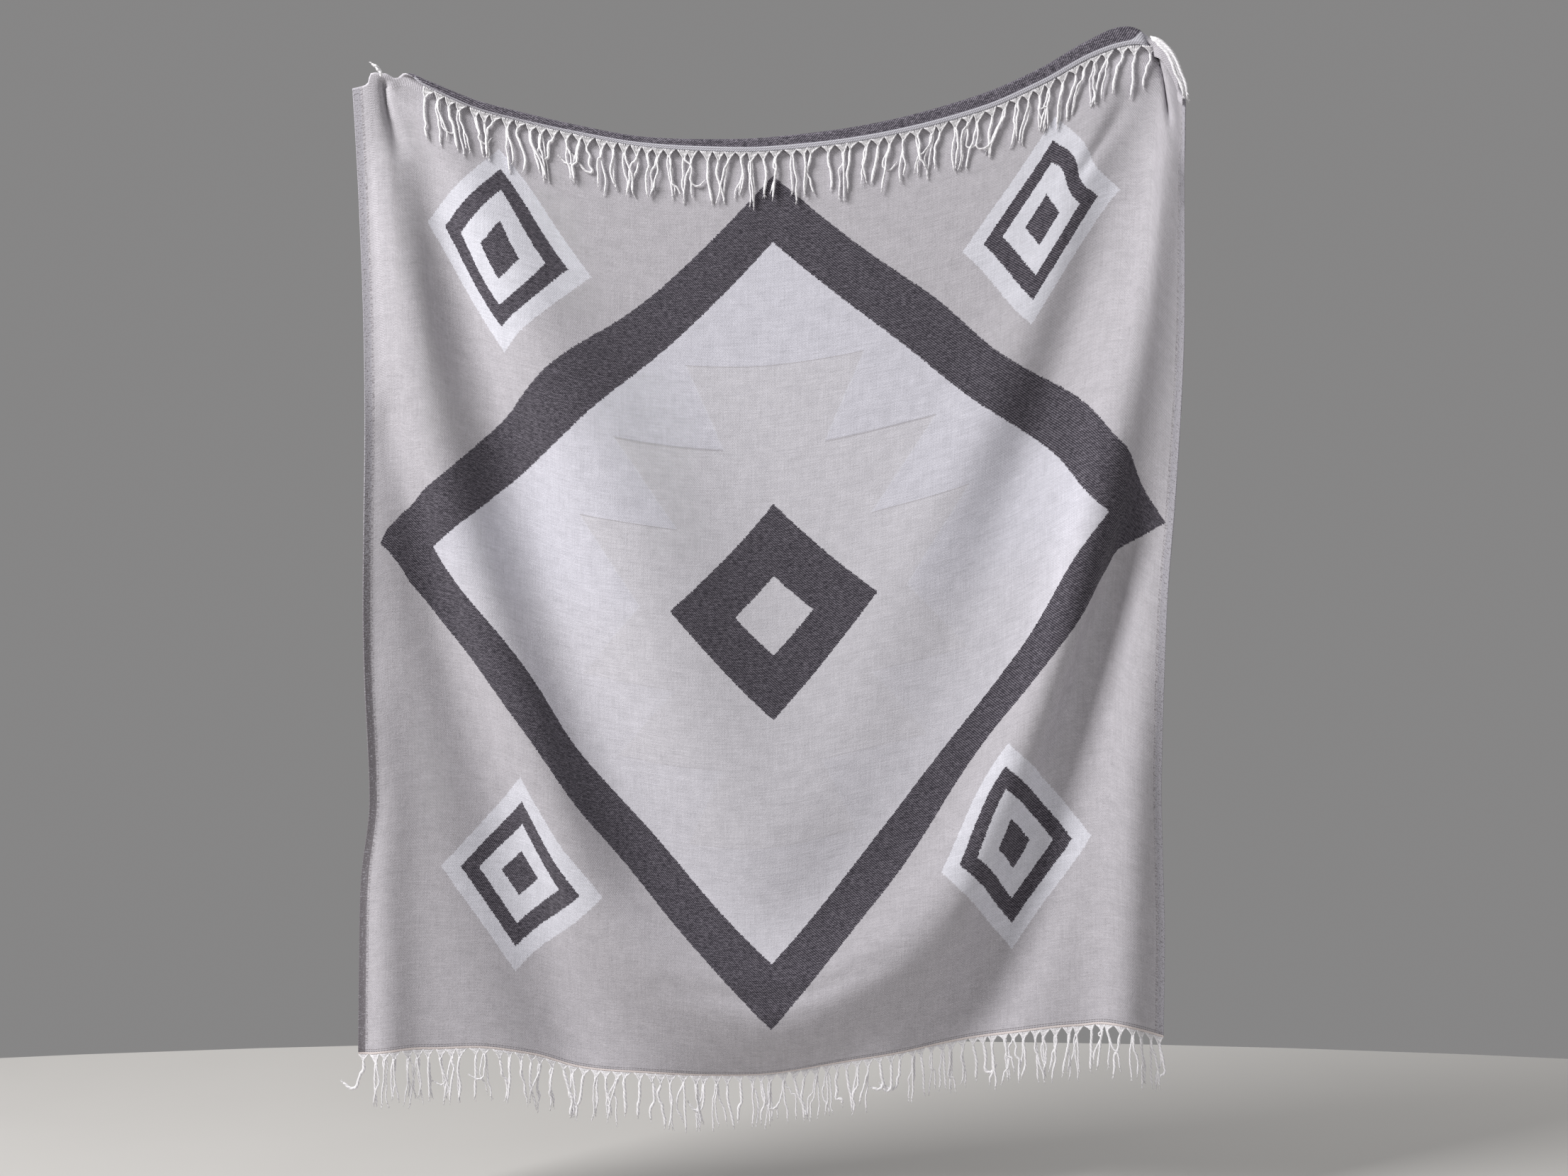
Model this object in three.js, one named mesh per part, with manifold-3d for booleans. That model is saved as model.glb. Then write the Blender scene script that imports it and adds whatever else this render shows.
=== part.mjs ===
// A woven blanket hung up by its two top corners, with a fringe at both ends.
// Millimetres, +Z up. The light face looks along -Y, +X is to the right of someone facing it.
// The origin is on the centre line, where the sheet starts to turn over at the top.
//
// "across" and "down" are measured on the cloth laid flat: across from its centre line,
// down from the line where the top end is turned over to the front.

import * as THREE from 'three';
import { mergeVertices } from 'three/addons/utils/BufferGeometryUtils.js';
import Module from 'manifold-3d';

// Cloth
const clothWidth = 1550;
const clothLength = 1650;
const clothThickness = 2.4;
const turnOver = 34;
const turnRadius = 4.5;
const drop = clothLength - turnOver;
const halfWidth = clothWidth / 2;

// The cloth's side edges come forward of its centre.
const bowAtTop = 60;
const bowAtHem = 30;

// Facets of the cloth
const columns = 32;
const mainRows = 34;
const turnRows = 4;
const flapRows = 2;
const gridStep = 10;

// Fringes
const toothCount = 38;
const toothLength = 86;
const toothWidth = 5;
const toothSteps = 2;
const toothSway = 11;
const toothStandOff = 11;
const headingDepth = 8;
const headingThickness = 5;
const toothRoot = 0.85;
const topGap = 1.5;
const bottomGap = 0.8;

// The top fringe starts at this column, where the end is fully turned over.
const topFringeColumn = 4;

// The two ends of the cloth, from the left side to the right: height of the top fold and of the
// bottom hem, how far a yarn row is lifted at half height, how far the top end is turned over to
// the front, in degrees, and how much of it is turned.
const ends = [
  { across: -775, top: 70, hem: -1541, lift: 18, turn: -150, turned: 12 },
  { across: -748, top: 78, hem: -1540, lift: 18, turn: -150, turned: 12 },
  { across: -726, top: 98, hem: -1537, lift: 17, turn: -150, turned: 12 },
  { across: -690, top: 90, hem: -1534, lift: 16, turn: -120, turned: 9 },
  { across: -660, top: 97, hem: -1534, lift: 15, turn: 150, turned: 13 },
  { across: -632, top: 87, hem: -1535, lift: 14, turn: 180, turned: 20 },
  { across: -540, top: 57, hem: -1535, lift: 10, turn: 180, turned: 24 },
  { across: -450, top: 37, hem: -1551, lift: 7, turn: 180, turned: 25 },
  { across: -360, top: 19, hem: -1576, lift: 4, turn: 180, turned: 25 },
  { across: -240, top: 0, hem: -1581, lift: 2, turn: 180, turned: 26 },
  { across: -110, top: -4, hem: -1589, lift: 0, turn: 180, turned: 30 },
  { across: 0, top: 0, hem: -1587, lift: 0, turn: 180, turned: 33 },
  { across: 170, top: 23, hem: -1560, lift: 2, turn: 180, turned: 35 },
  { across: 340, top: 67, hem: -1537, lift: 8, turn: 180, turned: 37 },
  { across: 450, top: 110, hem: -1517, lift: 18, turn: 180, turned: 36 },
  { across: 540, top: 155, hem: -1502, lift: 26, turn: 180, turned: 38 },
  { across: 605, top: 178, hem: -1495, lift: 32, turn: 180, turned: 44 },
  { across: 650, top: 162, hem: -1488, lift: 38, turn: 180, turned: 37 },
  { across: 690, top: 132, hem: -1490, lift: 40, turn: 180, turned: 31 },
  { across: 775, top: 53, hem: -1512, lift: 46, turn: 180, turned: 26 },
];

// Where the side edges hang.
const sides = [
  { down: 0, left: -700, right: 687 },
  { down: 60, left: -697, right: 686 },
  { down: 200, left: -692, right: 687 },
  { down: 460, left: -685, right: 687 },
  { down: 745, left: -684, right: 673 },
  { down: 945, left: -684, right: 658 },
  { down: 1200, left: -674, right: 650 },
  { down: 1330, left: -690, right: 653 },
  { down: 1450, left: -694, right: 657 },
  { down: 1616, left: -696, right: 656 },
];

// Folds, each a soft ridge (height above zero, towards the front) or a trough (below zero)
// that runs through its stations. Two swags hang one inside the other between the top corners.
const folds = {
  innerSwag: [
    { across: -640, down: 0, width: 50, height: 8 },
    { across: -515, down: 210, width: 76, height: 18 },
    { across: -385, down: 420, width: 112, height: 30 },
    { across: -270, down: 620, width: 145, height: 36 },
    { across: -190, down: 870, width: 150, height: 30 },
    { across: -95, down: 1110, width: 145, height: 22 },
    { across: 0, down: 1280, width: 130, height: 16 },
    { across: 110, down: 1130, width: 120, height: 7 },
    { across: 200, down: 900, width: 100, height: 5 },
    { across: 300, down: 690, width: 85, height: 7 },
    { across: 410, down: 500, width: 70, height: 8 },
    { across: 640, down: 20, width: 50, height: 4 },
  ],
  innerTrough: [
    { across: -690, down: 60, width: 60, height: -1 },
    { across: -632, down: 230, width: 66, height: -14 },
    { across: -578, down: 410, width: 72, height: -32 },
    { across: -518, down: 570, width: 92, height: -29 },
    { across: -450, down: 760, width: 100, height: -36 },
    { across: -370, down: 960, width: 108, height: -42 },
    { across: -225, down: 1240, width: 112, height: -36 },
    { across: 0, down: 1395, width: 105, height: -22 },
    { across: 170, down: 1230, width: 110, height: -7 },
    { across: 320, down: 950, width: 100, height: -9 },
    { across: 465, down: 660, width: 80, height: -16 },
    { across: 560, down: 400, width: 60, height: -13 },
    { across: 650, down: 110, width: 50, height: -5 },
  ],
  outerSwag: [
    { across: -745, down: -20, width: 50, height: 4 },
    { across: -690, down: 260, width: 58, height: 20 },
    { across: -640, down: 560, width: 70, height: 19 },
    { across: -545, down: 850, width: 72, height: 22 },
    { across: -405, down: 1170, width: 82, height: 38 },
    { across: -260, down: 1390, width: 88, height: 34 },
    { across: 0, down: 1490, width: 85, height: 34 },
    { across: 190, down: 1455, width: 85, height: 38 },
    { across: 315, down: 1370, width: 82, height: 36 },
    { across: 468, down: 1145, width: 74, height: 34 },
    { across: 578, down: 900, width: 62, height: 38 },
    { across: 660, down: 580, width: 56, height: 24 },
    { across: 735, down: 70, width: 45, height: 10 },
  ],
  leftTrough: [
    { across: -735, down: 560, width: 40, height: -8 },
    { across: -655, down: 830, width: 58, height: -22 },
    { across: -545, down: 1210, width: 78, height: -30 },
    { across: -430, down: 1460, width: 92, height: -36 },
    { across: -350, down: 1680, width: 95, height: -40 },
  ],
  rightTrough: [
    { across: 735, down: 760, width: 45, height: -12 },
    { across: 632, down: 1000, width: 58, height: -32 },
    { across: 562, down: 1240, width: 74, height: -30 },
    { across: 440, down: 1500, width: 86, height: -44 },
    { across: 290, down: 1700, width: 92, height: -52 },
  ],
  leftEdge: [
    { across: -770, down: 1000, width: 45, height: 6 },
    { across: -738, down: 1330, width: 46, height: 20 },
    { across: -718, down: 1700, width: 48, height: 26 },
  ],
  rightEdge: [
    { across: 765, down: 900, width: 45, height: 6 },
    { across: 728, down: 1180, width: 52, height: 28 },
    { across: 700, down: 1450, width: 58, height: 34 },
    { across: 684, down: 1700, width: 58, height: 40 },
  ],
  hemTuck: [
    { across: -160, down: 1705, width: 92, height: -44 },
    { across: 0, down: 1705, width: 96, height: -56 },
    { across: 140, down: 1705, width: 92, height: -44 },
  ],
  leftEdgeFall: [
    { across: -800, down: 40, width: 85, height: -10 },
    { across: -795, down: 250, width: 95, height: -18 },
    { across: -790, down: 480, width: 95, height: -18 },
    { across: -785, down: 720, width: 85, height: -8 },
  ],
  leftEdgeLean: [
    { across: -788, down: 1160, width: 60, height: -4 },
    { across: -785, down: 1320, width: 64, height: -14 },
    { across: -775, down: 1520, width: 62, height: -14 },
    { across: -770, down: 1660, width: 58, height: -10 },
  ],
  lowerSwell: [
    { across: -270, down: 1310, width: 70, height: 2 },
    { across: -120, down: 1375, width: 90, height: 14 },
    { across: 0, down: 1390, width: 95, height: 19 },
    { across: 140, down: 1360, width: 90, height: 14 },
    { across: 270, down: 1280, width: 70, height: 2 },
  ],
  lowerHollow: [
    { across: -270, down: 1620, width: 105, height: -3 },
    { across: -120, down: 1640, width: 120, height: -9 },
    { across: 0, down: 1645, width: 125, height: -12 },
    { across: 140, down: 1630, width: 120, height: -9 },
    { across: 290, down: 1600, width: 105, height: -3 },
  ],
};

// A smooth curve through one column of a table.
function through(rows, key, column, at) {
  const last = rows.length - 1;
  const place = THREE.MathUtils.clamp(at, rows[0][key], rows[last][key]);
  let k = 0;
  while (k < last - 1 && place > rows[k + 1][key]) k += 1;
  const slopeAt = (n) => {
    const before = rows[Math.max(n - 1, 0)];
    const after = rows[Math.min(n + 1, last)];
    return (after[column] - before[column]) / (after[key] - before[key]);
  };
  const span = rows[k + 1][key] - rows[k][key];
  const u = (place - rows[k][key]) / span;
  const u2 = u * u;
  const u3 = u2 * u;
  const start = (2 * u3 - 3 * u2 + 1) * rows[k][column] + (u3 - 2 * u2 + u) * span * slopeAt(k);
  const end = (3 * u2 - 2 * u3) * rows[k + 1][column] + (u3 - u2) * span * slopeAt(k + 1);
  return start + end;
}

// A fold's ridge line as closely spaced round dabs, which add up to one smooth ridge.
function dabsOf(stations) {
  const perStation = 12;
  const numbered = stations.map((station, n) => ({ ...station, n }));
  const count = perStation * (stations.length - 1);
  const points = [];
  for (let i = 0; i <= count; i += 1) {
    const n = i / perStation;
    const point = {};
    for (const column of ['across', 'down', 'width', 'height']) {
      point[column] = through(numbered, 'n', column, n);
    }
    points.push(point);
  }
  return points.map((point, i) => {
    const before = points[Math.max(i - 1, 0)];
    const after = points[Math.min(i + 1, count)];
    const share = Math.hypot(after.across - before.across, after.down - before.down) / 2;
    return { ...point, weight: point.height * share / (point.width * Math.sqrt(Math.PI)) };
  });
}

const dabs = Object.values(folds).flatMap(dabsOf);

// How far the cloth stands forward of the origin at a flat place.
function forwardAt(across, down) {
  const bow = bowAtTop + (bowAtHem - bowAtTop) * down / drop;
  let forward = bow * (across / halfWidth) ** 2;
  for (const dab of dabs) {
    const away = ((across - dab.across) ** 2 + (down - dab.down) ** 2) / dab.width ** 2;
    if (away < 12) forward += dab.weight * Math.exp(-away);
  }
  return forward;
}

// Running totals of a list, starting from zero.
function runningTotal(values) {
  const totals = [0];
  for (const value of values) totals.push(totals[totals.length - 1] + value);
  return totals;
}

// The length left along a step when part of it is used up by depth and slope.
function levelPart(step, ...used) {
  const left = step * step - used.reduce((sum, part) => sum + part * part, 0);
  return Math.sqrt(Math.max(left, 0.06 * step * step));
}

// The hanging sheet on a fine flat grid. Each yarn keeps its length, so the cloth draws in
// where it folds, and the result is fitted between the ends and the sides.
function hangingGrid() {
  const acrossCount = 2 * Math.round(halfWidth / gridStep);
  const downCount = Math.round(drop / gridStep);
  const acrossStep = clothWidth / acrossCount;
  const downStep = drop / downCount;
  const acrosses = Array.from({ length: acrossCount + 1 }, (_, i) => -halfWidth + i * acrossStep);
  const downs = Array.from({ length: downCount + 1 }, (_, j) => j * downStep);
  const forward = downs.map((down) => acrosses.map((across) => forwardAt(across, down)));

  const height = downs.map(() => []);
  acrosses.forEach((across, i) => {
    const falls = downs.slice(1).map((_, j) => levelPart(downStep, forward[j + 1][i] - forward[j][i]));
    const fallen = runningTotal(falls);
    const top = through(ends, 'across', 'top', across);
    const hem = through(ends, 'across', 'hem', across);
    const lift = through(ends, 'across', 'lift', across);
    downs.forEach((_, j) => {
      const part = fallen[j] / fallen[downCount];
      height[j][i] = top + (hem - top) * part + lift * 4 * part * (1 - part);
    });
  });

  const middle = acrossCount / 2;
  const sideways = downs.map((down, j) => {
    const runs = acrosses.slice(1).map((_, i) => levelPart(
      acrossStep, forward[j][i + 1] - forward[j][i], height[j][i + 1] - height[j][i]));
    const run = runningTotal(runs);
    const left = through(sides, 'down', 'left', down) / (run[0] - run[middle]);
    const right = through(sides, 'down', 'right', down) / (run[acrossCount] - run[middle]);
    return run.map((total, i) => (total - run[middle]) * (i < middle ? left : right));
  });

  const points = downs.map((_, j) => acrosses.map((_, i) => (
    new THREE.Vector3(sideways[j][i], -forward[j][i], height[j][i]))));
  return { points, acrossCount, downCount, acrossStep, downStep };
}

const grid = hangingGrid();

// The middle of the hanging sheet at a flat place.
function sheetPoint(across, down) {
  const i = THREE.MathUtils.clamp((across + halfWidth) / grid.acrossStep, 0, grid.acrossCount);
  const j = THREE.MathUtils.clamp(down / grid.downStep, 0, grid.downCount);
  const i0 = Math.min(Math.floor(i), grid.acrossCount - 1);
  const j0 = Math.min(Math.floor(j), grid.downCount - 1);
  const upper = grid.points[j0][i0].clone().lerp(grid.points[j0][i0 + 1], i - i0);
  const lower = grid.points[j0 + 1][i0].clone().lerp(grid.points[j0 + 1][i0 + 1], i - i0);
  const point = upper.lerp(lower, j - j0);
  point.z -= Math.max(down - drop, 0);
  return point;
}

// The sheet's place, its downward direction and the way its light face looks.
function sheetFrame(across, down) {
  const reach = 2 * gridStep;
  const rightward = sheetPoint(Math.min(across + reach, halfWidth), down)
    .sub(sheetPoint(Math.max(across - reach, -halfWidth), down));
  const downward = sheetPoint(across, Math.min(down + reach, drop))
    .sub(sheetPoint(across, Math.max(down - reach, 0)))
    .normalize();
  const face = new THREE.Vector3().crossVectors(downward, rightward).normalize();
  return { point: sheetPoint(across, down), downward, face };
}

// The length of cloth above the fold at a row of the turned-over end, or past its hem.
function lengthAbove(across, row) {
  const turned = through(ends, 'across', 'turned', across);
  return row < turnOver ? row * turned / turnOver : turned + row - turnOver;
}

// The cloth's middle and facing at a flat place, the turned-over end included, where down is
// below zero. Past the hem the end goes straight on, for the fringe's heading.
function clothFrame(across, down) {
  if (down >= 0) return sheetFrame(across, down);
  const { point, downward, face } = sheetFrame(across, 0);
  const turn = THREE.MathUtils.degToRad(Math.min(through(ends, 'across', 'turn', across), 180));
  const way = Math.sign(turn);
  const length = lengthAbove(across, -down);
  const bent = Math.min(length / turnRadius, Math.abs(turn));
  const straight = length - bent * turnRadius;
  const rise = turnRadius * Math.sin(bent) + straight * Math.cos(bent);
  const out = turnRadius * (1 - Math.cos(bent)) + straight * Math.sin(bent);
  point.addScaledVector(downward, -rise).addScaledVector(face, way * out);
  const turned = face.clone()
    .multiplyScalar(Math.cos(bent))
    .addScaledVector(downward, way * Math.sin(bent));
  return { point, face: turned };
}

// Each square of a slab is split along the diagonal that lies closer to the cloth, the same way
// on both faces.
function splitAlongFolds(slab, places) {
  const index = slab.index;
  const middleOf = (corners) => {
    const across = corners.reduce((sum, corner) => sum + places[corner].across, 0) / corners.length;
    const down = corners.reduce((sum, corner) => sum + places[corner].down, 0) / corners.length;
    return clothFrame(across, down).point;
  };
  const strayOf = (one, other, middle) => {
    const half = places[one].point.clone().lerp(places[other].point, 0.5);
    return half.distanceTo(middle);
  };
  for (let i = 0; i < index.count; i += 6) {
    const [a, b, d, , c] = index.array.slice(i, i + 6);
    const middle = middleOf([a, b, c, d]);
    if (strayOf(a, c, middle) < strayOf(b, d, middle)) index.array.set([a, b, c, a, c, d], i);
  }
}

// A flat slab laid onto the cloth. placeOf gives the flat place of a slab vertex.
function bentSlab(acrossSegments, downSegments, thickness, placeOf) {
  const slab = new THREE.BoxGeometry(2, 2, 2, acrossSegments, 1, downSegments);
  slab.deleteAttribute('normal');
  slab.deleteAttribute('uv');
  const vertices = slab.attributes.position;
  const places = [];
  for (let i = 0; i < vertices.count; i += 1) {
    const { across, down } = placeOf(vertices.getX(i), (1 - vertices.getZ(i)) / 2);
    const { point, face } = clothFrame(across, down);
    places.push({ across, down, point });
    const surface = point.clone().addScaledVector(face, -vertices.getY(i) * thickness / 2);
    vertices.setXYZ(i, surface.x, surface.y, surface.z);
  }
  splitAlongFolds(slab, places);
  return mergeVertices(slab, 1e-3);
}

// Columns stand closer together near the sides, where the folds are tighter.
function columnAcross(u) {
  return halfWidth * u * (1.35 - 0.35 * Math.abs(u));
}

// Rows run from the turned-over hem, round the turn and down the front.
function rowDown(v) {
  const row = Math.round(v * (flapRows + turnRows + mainRows));
  const turnLength = Math.PI * turnRadius;
  if (row <= flapRows) return -turnOver + (turnOver - turnLength) * row / flapRows;
  if (row <= flapRows + turnRows) return -turnLength * (1 - (row - flapRows) / turnRows);
  return drop * ((row - flapRows - turnRows) / mainRows) ** 1.15;
}

function makeCloth() {
  return bentSlab(columns, flapRows + turnRows + mainRows, clothThickness, (u, v) => (
    { across: columnAcross(u), down: rowDown(v) }));
}

// Solids joined into one closed body.
const wasm = await Module();
wasm.setup();

function asSolid(geometry) {
  geometry.deleteAttribute('normal');
  geometry.deleteAttribute('uv');
  const welded = mergeVertices(geometry, 1e-3);
  return new wasm.Manifold(new wasm.Mesh({
    numProp: 3,
    vertProperties: new Float32Array(welded.attributes.position.array),
    triVerts: new Uint32Array(welded.index.array),
  }));
}

function asGeometry(solid) {
  const mesh = solid.getMesh();
  const geometry = new THREE.BufferGeometry();
  geometry.setAttribute('position', new THREE.BufferAttribute(mesh.vertProperties, 3));
  geometry.setIndex(new THREE.BufferAttribute(mesh.triVerts, 1));
  return geometry;
}

// An even spread of values from -1 to 1 that looks unordered, the same on every run.
function uneven(n) {
  const spread = Math.sin(n * 12.9898 + 4.1) * 43758.5453;
  return 2 * (spread - Math.floor(spread)) - 1;
}

const toothSection = new THREE.Shape([
  new THREE.Vector2(-toothWidth / 2, -toothWidth / 2),
  new THREE.Vector2(toothWidth / 2, -toothWidth / 2),
  new THREE.Vector2(toothWidth / 2, toothWidth / 2),
  new THREE.Vector2(-toothWidth / 2, toothWidth / 2),
]);

function makeTooth(points) {
  return new THREE.ExtrudeGeometry(toothSection, {
    steps: toothSteps,
    bevelEnabled: false,
    extrudePath: new THREE.CatmullRomCurve3(points),
  });
}

// A place on the straight facet between two columns, so that teeth meet their heading.
function facetPoint(across, down) {
  const us = Array.from({ length: columns + 1 }, (_, i) => -1 + 2 * i / columns);
  const next = us.findIndex((u, i) => i > 0 && columnAcross(u) >= across);
  const left = columnAcross(us[next - 1]);
  const right = columnAcross(us[next]);
  const part = (across - left) / (right - left);
  return clothFrame(left, down).point.lerp(clothFrame(right, down).point, part);
}

// A comb: a heading along the end of the cloth, from one of its columns to the right side, and
// teeth that hang from it.
function makeFringe(hem, outward, gap, firstColumn, toothPoints) {
  const start = -1 + 2 * firstColumn / columns;
  const heading = bentSlab(columns - firstColumn, 1, headingThickness, (u, v) => {
    const depth = gap + headingDepth * (outward > 0 ? v : 1 - v);
    return { across: columnAcross(start + (1 - start) * (u + 1) / 2), down: hem + outward * depth };
  });
  let comb = asSolid(heading);
  const left = columnAcross(start);
  for (let n = 0; n < toothCount; n += 1) {
    const across = left + (halfWidth - left) * (n + 0.5) / toothCount;
    const root = facetPoint(across, hem + outward * (gap + toothRoot * headingDepth));
    comb = comb.add(asSolid(makeTooth(toothPoints(root, across, n))));
  }
  return asGeometry(comb);
}

// Top teeth hang in front of the cloth and follow its folds.
function topTooth(root, across, n) {
  const start = lengthAbove(across, turnOver + headingDepth) - Math.PI * turnRadius;
  const hanging = [0.35, 0.7, 1].map((part, k) => {
    const lean = toothSway * uneven(3 * n + k) * part;
    const reached = THREE.MathUtils.clamp(across + lean, -halfWidth, halfWidth);
    const { point, face } = sheetFrame(reached, start + toothLength * part);
    return point.addScaledVector(face, toothStandOff);
  });
  return [root, ...hanging];
}

function bottomTooth(root, across, n) {
  const hanging = [0.35, 0.7, 1].map((part, k) => new THREE.Vector3(
    root.x + toothSway * uneven(3 * n + k + 500) * part,
    root.y + toothSway * uneven(3 * n + k + 900) * part / 2,
    root.z - toothLength * part));
  return [root, ...hanging];
}

function finished(name, geometry, colour) {
  const material = new THREE.MeshStandardMaterial({ color: colour, roughness: 0.95, metalness: 0 });
  const mesh = new THREE.Mesh(geometry, material);
  mesh.name = name;
  return mesh;
}

const blanket = new THREE.Group();
blanket.add(
  finished('blanket', makeCloth(), '#c9c5c4'),
  finished('fringe_top', makeFringe(-turnOver, -1, topGap, topFringeColumn, topTooth), '#efebe8'),
  finished('fringe_bottom', makeFringe(drop, 1, bottomGap, 0, bottomTooth), '#efebe8'),
);

export default blanket;
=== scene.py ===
# A woven blanket hung up by its two top corners, with a yarn fringe at both ends.
# Metres, +Z up. The light face looks along -Y and +X is to the right of someone facing it.
# "across" and "down" are places on the cloth laid flat: across from its centre line, down from
# the line where the top end is turned over to the front. Sizes and tables are in millimetres.

import math
from collections import namedtuple

import bmesh
import bpy
import numpy as np
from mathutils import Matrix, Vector


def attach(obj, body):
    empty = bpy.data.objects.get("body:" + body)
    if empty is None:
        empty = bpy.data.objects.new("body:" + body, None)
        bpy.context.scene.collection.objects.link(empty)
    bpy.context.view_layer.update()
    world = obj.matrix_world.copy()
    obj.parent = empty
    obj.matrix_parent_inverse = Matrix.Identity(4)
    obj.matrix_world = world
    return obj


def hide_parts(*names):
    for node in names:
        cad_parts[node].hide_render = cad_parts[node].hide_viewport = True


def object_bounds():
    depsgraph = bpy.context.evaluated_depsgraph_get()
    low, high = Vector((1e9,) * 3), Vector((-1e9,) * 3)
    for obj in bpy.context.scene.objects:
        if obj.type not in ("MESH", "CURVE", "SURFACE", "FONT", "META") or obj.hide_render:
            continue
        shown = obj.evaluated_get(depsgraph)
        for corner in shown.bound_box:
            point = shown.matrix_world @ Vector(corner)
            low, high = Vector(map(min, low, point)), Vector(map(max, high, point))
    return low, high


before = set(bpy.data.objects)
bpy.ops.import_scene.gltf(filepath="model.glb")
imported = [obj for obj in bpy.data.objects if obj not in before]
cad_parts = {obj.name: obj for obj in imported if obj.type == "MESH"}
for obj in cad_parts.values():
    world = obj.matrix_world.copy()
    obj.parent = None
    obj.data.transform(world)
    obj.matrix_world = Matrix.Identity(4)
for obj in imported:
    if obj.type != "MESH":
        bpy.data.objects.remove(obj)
cad_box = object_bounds()

MM = 0.001

# Cloth
CLOTH_WIDTH = 1550
CLOTH_LENGTH = 1650
CLOTH_THICKNESS = 2.2
TURN_OVER = 34
TURN_RADIUS = 4.5
TURN_LENGTH = math.pi * TURN_RADIUS
DROP = CLOTH_LENGTH - TURN_OVER
HALF_WIDTH = CLOTH_WIDTH / 2

# The cloth's side edges come forward of its centre.
BOW_AT_TOP = 60
BOW_AT_HEM = 30

# Mesh of the cloth
COLUMNS = 208
MAIN_ROWS = 212
TURN_ROWS = 10
FLAP_ROWS = 6
EDGE_STRIP = 1.2

# The most that dabs along a fold stand apart, as a share of its least width, and the least that
# stays of the square of a yarn's step where the yarn folds
DAB_SPACING = 0.45
LEAST_LEVEL = 0.06

# Woven pattern, measured from the middle of the cloth
PATTERN_CENTRE = CLOTH_LENGTH / 2 - TURN_OVER
GREAT_DIAMOND = (754, 731)
GREAT_BAND = 113
CENTRE_DIAMOND = (186, 184)
CENTRE_HOLE = (70, 68)
CORNER_DIAMOND = (152, 168)
CORNER_PLACE = (470, 525)
CORNER_RINGS = (0.235, 0.52, 0.755, 1.0)
WARP_PITCH = 2.2
WEFT_PITCH = 1.8
TWILL_PITCH = 4.2
RAGGED = 1.4
FIGURE_LIGHT_LINE = 3.2
FIGURE_DARK_LINE = 2.6

# Selvedges and ends
SELVEDGE = 14
# Width of the speckled dark line painted as shadow just inside each selvedge
SELVEDGE_SHADOW_LINE = 4.5
TOP_HEADER = 8
BOTTOM_HEADER = 3.5
GREY_LINE = 1.2
BARE_WARP_LEFT = -650
BARE_WARP_RIGHT = 648
STITCH_GAP = 3.2
STITCH_WIDTHS = (1.3, 1.2)
STITCH_PITCH = 5.2

# Fringes
TOP_FRINGE_LEFT = -628
TOP_FRINGE_RIGHT = 640
FRINGE_STAND_OFF = 4.2
TASSEL_PITCH = 20.8
TASSEL_SLIP = 3
KNOT_SLIP = 4
CORD_LENGTH = 74
CORD_RADII = (2.6, 1.9, 1.55)
CORD_GAP = 2.4
CORD_POINTS = 22
FAN_RADIUS = 0.8
FAN_YARNS = 11
FAN_HALF_WIDTH = 9.8
FAN_DROP = 14
FIBRES = 4
FIBRE_RADII = (0.72, 0.612, 0.432, 0.18)

# How cords wander, with angles in radians: waves along a cord and how far each turns it, kinks,
# hooked tips, and pairs of tassels that lean together
CORD_WAVES = ((0.9, 0.16), (2.3, 0.1))
KINKS_PER_CORD = 0.9
KINK_TURN = 0.5
KINK_LENGTH = 0.07
HOOKED_SHARE = 0.06
HOOK_TURN = 2.4
LEANING_SHARE = 0.3
LEAN = 0.11

# Camera and stage
IMAGE_WIDTH = 2212
LENS = 50
SENSOR = 36
CAMERA_DISTANCE = 3690
CAMERA_HEIGHT = -758
CENTRE_PIXEL = 1090
FLOOR_CLEARANCE = 120
FLOOR_RADIUS = 8000
FLOOR_BACK = 1350

End = namedtuple("End", "across top hem lift turn turned")
Side = namedtuple("Side", "down left right")
Station = namedtuple("Station", "across down width height")
NumberedStation = namedtuple("NumberedStation", "number across down width height")
Pull = namedtuple("Pull", "across down reach right below")
Tier = namedtuple("Tier", "near far narrow wide")
Spot = namedtuple("Spot", "part right forward up")
Lamp = namedtuple("Lamp", "name place size power tint")

# The two ends of the cloth, from the left side to the right: height of the top fold and of the
# bottom hem, how far a yarn row is lifted at half height, how far the top end is turned over to
# the front, in degrees, and how much of it is turned.
ENDS = [
    End(-775, 70, -1541, 18, -150, 12),
    End(-748, 78, -1540, 18, -150, 12),
    End(-726, 98, -1537, 17, -150, 12),
    End(-690, 90, -1534, 16, -120, 9),
    End(-660, 97, -1534, 15, 150, 13),
    End(-632, 87, -1535, 14, 180, 20),
    End(-540, 57, -1535, 10, 180, 24),
    End(-450, 37, -1551, 7, 180, 25),
    End(-360, 19, -1576, 4, 180, 25),
    End(-240, 0, -1581, 2, 180, 26),
    End(-110, -4, -1589, 0, 180, 30),
    End(0, 0, -1587, 0, 180, 33),
    End(170, 23, -1560, 2, 180, 35),
    End(340, 67, -1537, 8, 180, 37),
    End(450, 110, -1517, 18, 180, 36),
    End(540, 155, -1502, 26, 180, 38),
    End(605, 178, -1495, 32, 180, 44),
    End(650, 162, -1488, 38, 180, 37),
    End(690, 132, -1490, 40, 180, 31),
    End(775, 53, -1512, 46, 180, 26),
]

# Where the side edges hang.
SIDES = [
    Side(0, -700, 687),
    Side(60, -697, 686),
    Side(200, -692, 687),
    Side(460, -685, 687),
    Side(745, -684, 673),
    Side(945, -684, 658),
    Side(1200, -674, 650),
    Side(1330, -690, 653),
    Side(1450, -694, 657),
    Side(1616, -696, 656),
]

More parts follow.
